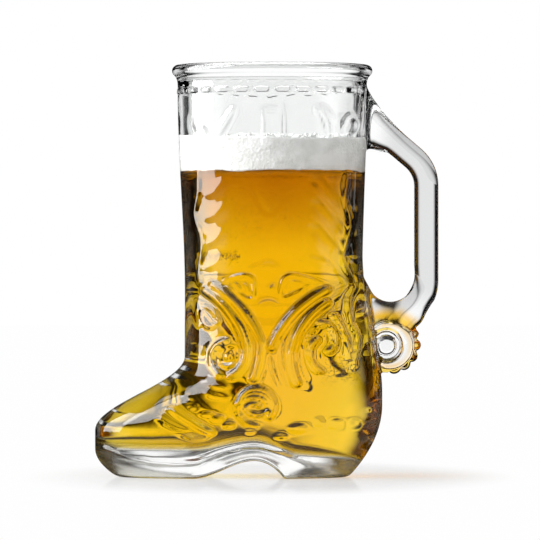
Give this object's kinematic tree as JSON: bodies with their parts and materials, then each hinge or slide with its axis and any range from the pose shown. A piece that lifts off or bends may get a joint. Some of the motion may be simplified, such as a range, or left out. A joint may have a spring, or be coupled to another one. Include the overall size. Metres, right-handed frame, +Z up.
{
  "type": "beer boot glass",
  "caption": "Glass beer mug in the shape of a western boot, with a rounded rim, a round bar handle, a spur at its foot, and beer inside under a head of foam.",
  "frame": {"origin": "on the surface that the glass stands on, midway between the tip of the toe and the outside of the handle", "axes": "+Z up along the shaft, +X towards the handle with the toe at -X, +Y to the boot's far side in the picture"},
  "size_m": [0.1335, 0.078, 0.16],
  "materials": {
    "clear_glass": "polished",
    "beer": "polished",
    "foam": "matte"
  },
  "bodies": {
    "root": {"boot_body": "clear_glass", "handle": "clear_glass", "spur": "clear_glass", "beer": "beer", "foam_head": "foam"}
  },
  "joints": []
}
